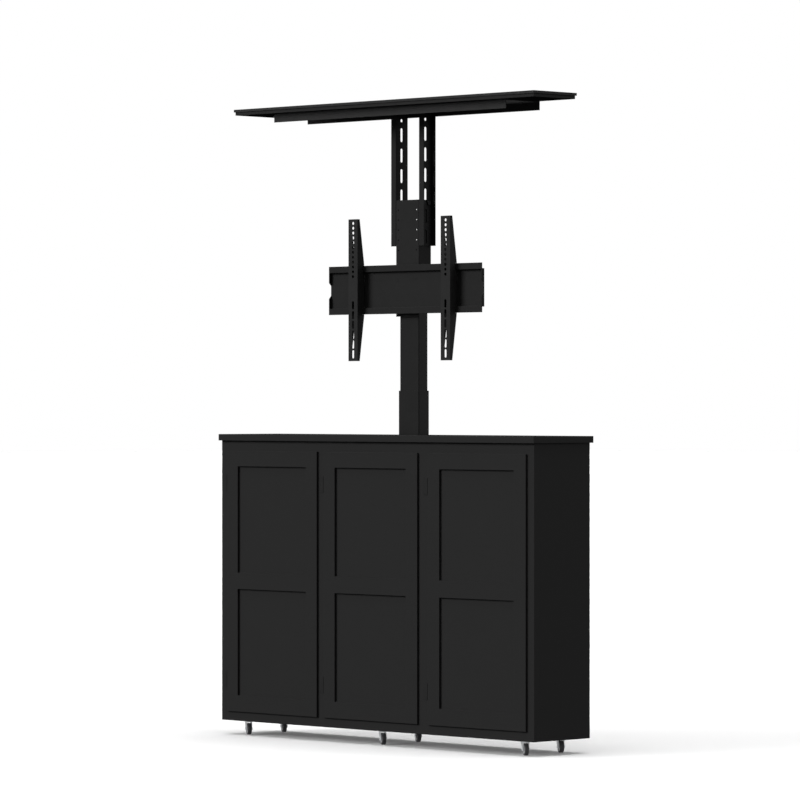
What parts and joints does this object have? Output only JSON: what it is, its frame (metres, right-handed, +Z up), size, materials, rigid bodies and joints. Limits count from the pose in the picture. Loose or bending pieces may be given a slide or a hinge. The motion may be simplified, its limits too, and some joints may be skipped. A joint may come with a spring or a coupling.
{
  "type": "tv lift cabinet",
  "caption": "Motorised TV lift in a shallow three-door cabinet on casters, raised, with a bracket plate, sliding TV arms and a slotted frame that carries the lid.",
  "frame": {"origin": "on the floor, under the middle of the object's bounding box", "axes": "+Z up, +X to the right as seen from the front, -Y towards the side with the doors"},
  "size_m": [1.364, 0.256, 1.953],
  "materials": {
    "painted_wood": "satin black paint",
    "painted_board": "satin black paint",
    "powder_coated_steel": "matte black powder coat",
    "coated_aluminium": "satin black coating",
    "black_plastic": "matte",
    "motor_case": "matte black coating",
    "bearing_plastic": "matte",
    "spindle_steel": "ground",
    "black_steel": "black oxide",
    "zinc_steel": "bright zinc",
    "wheel_rubber": "matte"
  },
  "bodies": {
    "cabinet": {"side_panel_left": "painted_wood", "side_panel_right": "painted_wood", "bottom_board": "painted_board", "back_panel": "painted_board", "back_rails": "painted_board", "face_frame_stiles": "painted_wood", "face_frame_rails": "painted_wood", "top_board": "painted_wood", "column_brace": "powder_coated_steel", "lift_base_plate": "powder_coated_steel", "lift_base_bolts": "black_steel", "gearbox": "black_plastic", "motor": "motor_case", "tube_outer": "powder_coated_steel", "control_box": "black_plastic", "frame_hinges": "black_steel", "magnetic_catches": "black_plastic", "caster_plates": "zinc_steel", "caster_screws": "zinc_steel"},
    "middle_stage": {"tube_middle": "powder_coated_steel", "nut_block_lower": "bearing_plastic", "glides_middle": "bearing_plastic"},
    "carriage": {"tube_inner": "powder_coated_steel", "nut_block_upper": "bearing_plastic", "glides_inner": "bearing_plastic", "head_bracket": "powder_coated_steel", "tv_plate": "powder_coated_steel", "plate_bolts": "black_steel"},
    "lid": {"lid_rail_left": "powder_coated_steel", "lid_rail_right": "powder_coated_steel", "lid_channel": "powder_coated_steel", "lid_board": "painted_wood", "lid_skin": "coated_aluminium", "lid_fasteners": "black_steel"},
    "arm_left": {"arm_left": "powder_coated_steel"},
    "arm_right": {"arm_right": "powder_coated_steel"},
    "spindle_lower": {"spindle_lower": "spindle_steel"},
    "drive_shaft": {"drive_shaft": "spindle_steel"},
    "spindle_upper": {"spindle_upper": "spindle_steel"},
    "door_left": {"door_left_frame": "painted_wood", "door_left_panels": "painted_board", "door_left_hardware": "black_steel"},
    "door_middle": {"door_middle_frame": "painted_wood", "door_middle_panels": "painted_board", "door_middle_hardware": "black_steel"},
    "door_right": {"door_right_frame": "painted_wood", "door_right_panels": "painted_board", "door_right_hardware": "black_steel"},
    "caster_1_fork": {"caster_1_fork": "zinc_steel"},
    "caster_1_wheel": {"caster_1_wheel": "wheel_rubber"},
    "caster_2_fork": {"caster_2_fork": "zinc_steel"},
    "caster_2_wheel": {"caster_2_wheel": "wheel_rubber"},
    "caster_3_fork": {"caster_3_fork": "zinc_steel"},
    "caster_3_wheel": {"caster_3_wheel": "wheel_rubber"},
    "caster_4_fork": {"caster_4_fork": "zinc_steel"},
    "caster_4_wheel": {"caster_4_wheel": "wheel_rubber"},
    "caster_5_fork": {"caster_5_fork": "zinc_steel"},
    "caster_5_wheel": {"caster_5_wheel": "wheel_rubber"},
    "caster_6_fork": {"caster_6_fork": "zinc_steel"},
    "caster_6_wheel": {"caster_6_wheel": "wheel_rubber"}
  },
  "joints": [
    {"name": "lift_middle", "type": "slide", "parent": "cabinet", "child": "middle_stage", "axis": [0, 0, 1], "range_m": [-0.443, 0]},
    {"name": "lift_inner", "type": "slide", "parent": "middle_stage", "child": "carriage", "axis": [0, 0, 1], "range_m": [-0.443, 0]},
    {"name": "spindle_lower_turn", "type": "hinge", "parent": "cabinet", "child": "spindle_lower", "pos_m": [-0.018, 0.0563, 0.3], "axis": [0, 0, 1], "range_deg": [-15950, 0]},
    {"name": "drive_shaft_turn", "type": "hinge", "parent": "cabinet", "child": "drive_shaft", "pos_m": [0.018, 0.0563, 0.3], "axis": [0, 0, 1], "range_deg": [-15950, 0]},
    {"name": "spindle_upper_turn", "type": "hinge", "parent": "middle_stage", "child": "spindle_upper", "pos_m": [0.018, 0.0563, 0.7], "axis": [0, 0, 1], "range_deg": [-15950, 0]},
    {"name": "lid_height", "type": "slide", "parent": "carriage", "child": "lid", "axis": [0, 0, 1], "range_m": [-0.1202, 0]},
    {"name": "arm_left_slide", "type": "slide", "parent": "carriage", "child": "arm_left", "axis": [1, 0, 0], "range_m": [-0.1, 0.1]},
    {"name": "arm_right_slide", "type": "slide", "parent": "carriage", "child": "arm_right", "axis": [1, 0, 0], "range_m": [-0.1, 0.1]},
    {"name": "door_left_hinge", "type": "hinge", "parent": "cabinet", "child": "door_left", "pos_m": [-0.6493, -0.1217, 0.48], "axis": [0, 0, 1], "range_deg": [-110, 0]},
    {"name": "door_middle_hinge", "type": "hinge", "parent": "cabinet", "child": "door_middle", "pos_m": [-0.2133, -0.1217, 0.48], "axis": [0, 0, 1], "range_deg": [-110, 0]},
    {"name": "door_right_hinge", "type": "hinge", "parent": "cabinet", "child": "door_right", "pos_m": [0.2367, -0.1217, 0.48], "axis": [0, 0, 1], "range_deg": [-110, 0]},
    {"name": "caster_1_swivel", "type": "hinge", "parent": "cabinet", "child": "caster_1_fork", "pos_m": [-0.60558, -0.07096, 0.0396], "axis": [0, 0, 1], "continuous": true},
    {"name": "caster_1_roll", "type": "hinge", "parent": "caster_1_fork", "child": "caster_1_wheel", "pos_m": [-0.5988, -0.0752, 0.018], "axis": [0.5299, 0.848, 0], "continuous": true},
    {"name": "caster_2_swivel", "type": "hinge", "parent": "cabinet", "child": "caster_2_fork", "pos_m": [-0.00678, -0.07096, 0.0396], "axis": [0, 0, 1], "continuous": true},
    {"name": "caster_2_roll", "type": "hinge", "parent": "caster_2_fork", "child": "caster_2_wheel", "pos_m": [0, -0.0752, 0.018], "axis": [0.5299, 0.848, 0], "continuous": true},
    {"name": "caster_3_swivel", "type": "hinge", "parent": "cabinet", "child": "caster_3_fork", "pos_m": [0.59202, -0.07096, 0.0396], "axis": [0, 0, 1], "continuous": true},
    {"name": "caster_3_roll", "type": "hinge", "parent": "caster_3_fork", "child": "caster_3_wheel", "pos_m": [0.5988, -0.0752, 0.018], "axis": [0.5299, 0.848, 0], "continuous": true},
    {"name": "caster_4_swivel", "type": "hinge", "parent": "cabinet", "child": "caster_4_fork", "pos_m": [-0.60558, 0.07944, 0.0396], "axis": [0, 0, 1], "continuous": true},
    {"name": "caster_4_roll", "type": "hinge", "parent": "caster_4_fork", "child": "caster_4_wheel", "pos_m": [-0.5988, 0.0752, 0.018], "axis": [0.5299, 0.848, 0], "continuous": true},
    {"name": "caster_5_swivel", "type": "hinge", "parent": "cabinet", "child": "caster_5_fork", "pos_m": [-0.00678, 0.07944, 0.0396], "axis": [0, 0, 1], "continuous": true},
    {"name": "caster_5_roll", "type": "hinge", "parent": "caster_5_fork", "child": "caster_5_wheel", "pos_m": [0, 0.0752, 0.018], "axis": [0.5299, 0.848, 0], "continuous": true},
    {"name": "caster_6_swivel", "type": "hinge", "parent": "cabinet", "child": "caster_6_fork", "pos_m": [0.59202, 0.07944, 0.0396], "axis": [0, 0, 1], "continuous": true},
    {"name": "caster_6_roll", "type": "hinge", "parent": "caster_6_fork", "child": "caster_6_wheel", "pos_m": [0.5988, 0.0752, 0.018], "axis": [0.5299, 0.848, 0], "continuous": true}
  ],
  "couplings": [
    {"joint": "lift_inner", "follows": "lift_middle", "ratio": 1},
    {"joint": "spindle_lower_turn", "follows": "lift_middle", "rad_per_m": 628.32},
    {"joint": "drive_shaft_turn", "follows": "lift_middle", "rad_per_m": 628.32},
    {"joint": "spindle_upper_turn", "follows": "lift_middle", "rad_per_m": 628.32}
  ]
}
